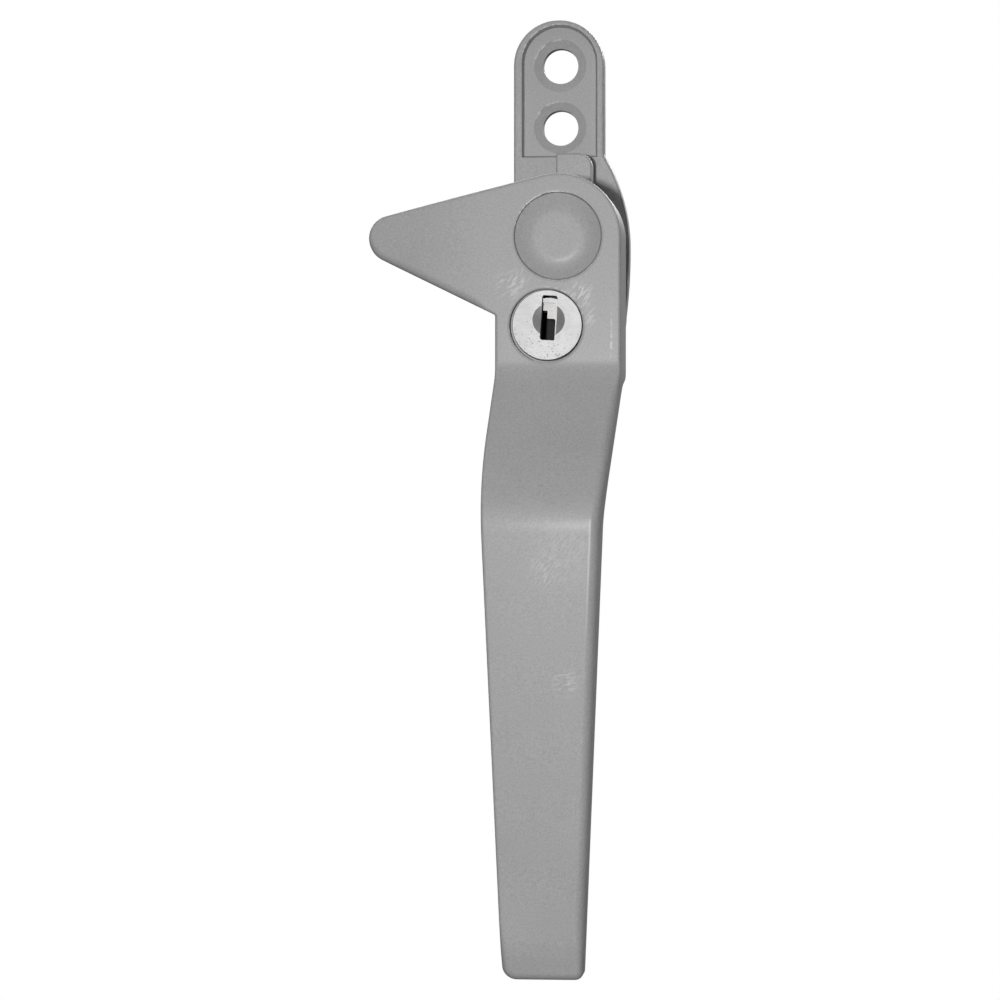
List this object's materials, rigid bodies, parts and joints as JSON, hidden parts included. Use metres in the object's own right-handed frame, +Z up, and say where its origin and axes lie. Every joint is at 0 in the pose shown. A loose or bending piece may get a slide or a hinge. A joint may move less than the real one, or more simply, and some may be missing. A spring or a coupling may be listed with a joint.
{
  "type": "keyed window lock",
  "caption": "Keyed cockspur window handle: a cast handle with a locking spur swings on a raised base and is held shut by a wafer lock.",
  "frame": {"origin": "the pivot's axis, on the base's back face where it meets the sash", "axes": "+X to the right seen from the room, +Y into the sash, +Z up along the handle's length"},
  "size_m": [0.0391, 0.0432, 0.1507],
  "materials": {
    "painted_zinc": "satin silver-grey stoved paint over die-cast zinc",
    "painted_cap": "satin grey, as the handle",
    "chrome": "bright plated, lightly scuffed",
    "zinc_plated_steel": "bright zinc plate",
    "spring_steel": "oiled spring steel",
    "dark_zinc": "die-cast zinc, blackened and greased",
    "nickel_brass": "nickel plated stamping",
    "nylon": "natural nylon",
    "acetal": "black acetal"
  },
  "bodies": {
    "base": {"base_casting": "painted_zinc", "stop_pin": "zinc_plated_steel", "friction_washer": "nylon", "pivot_sleeve": "zinc_plated_steel", "pivot_bolt": "zinc_plated_steel", "flat_washer": "zinc_plated_steel", "spring_washer": "spring_steel", "pivot_nut": "zinc_plated_steel"},
    "handle": {"handle_casting": "painted_zinc", "handle_bush": "acetal", "pivot_cap": "painted_cap", "lock_barrel": "dark_zinc", "barrel_pin": "zinc_plated_steel"},
    "lock_core": {"lock_plug": "chrome", "plug_clip": "spring_steel", "lock_cam": "zinc_plated_steel", "cam_screw": "zinc_plated_steel", "wafer_spring_1": "spring_steel", "wafer_spring_2": "spring_steel", "wafer_spring_3": "spring_steel", "wafer_spring_4": "spring_steel"},
    "wafer_1_body": {"wafer_1": "nickel_brass"},
    "wafer_2_body": {"wafer_2": "nickel_brass"},
    "wafer_3_body": {"wafer_3": "nickel_brass"},
    "wafer_4_body": {"wafer_4": "nickel_brass"}
  },
  "joints": [
    {"name": "handle_swing", "type": "hinge", "parent": "base", "child": "handle", "pos_m": [0, 0, 0], "axis": [0, -1, 0], "range_deg": [0, 90]},
    {"name": "lock_turn", "type": "hinge", "parent": "handle", "child": "lock_core", "pos_m": [-0.00165, 0, -0.0137], "axis": [0, 1, 0], "range_deg": [0, 90]},
    {"name": "wafer_1_slide", "type": "slide", "parent": "lock_core", "child": "wafer_1_body", "axis": [0.0593, 0, 0.9982], "range_m": [0, 0.0004], "stiffness_N_per_m": 100, "springref_m": 0.0004, "deforming": ["wafer_spring_1"]},
    {"name": "wafer_2_slide", "type": "slide", "parent": "lock_core", "child": "wafer_2_body", "axis": [0.0593, 0, 0.9982], "range_m": [0, 0.0004], "stiffness_N_per_m": 100, "springref_m": 0.0004, "deforming": ["wafer_spring_2"]},
    {"name": "wafer_3_slide", "type": "slide", "parent": "lock_core", "child": "wafer_3_body", "axis": [0.0593, 0, 0.9982], "range_m": [0, 0.0004], "stiffness_N_per_m": 100, "springref_m": 0.0004, "deforming": ["wafer_spring_3"]},
    {"name": "wafer_4_slide", "type": "slide", "parent": "lock_core", "child": "wafer_4_body", "axis": [0.0593, 0, 0.9982], "range_m": [0, 0.0004], "stiffness_N_per_m": 100, "springref_m": 0.0004, "deforming": ["wafer_spring_4"]}
  ]
}
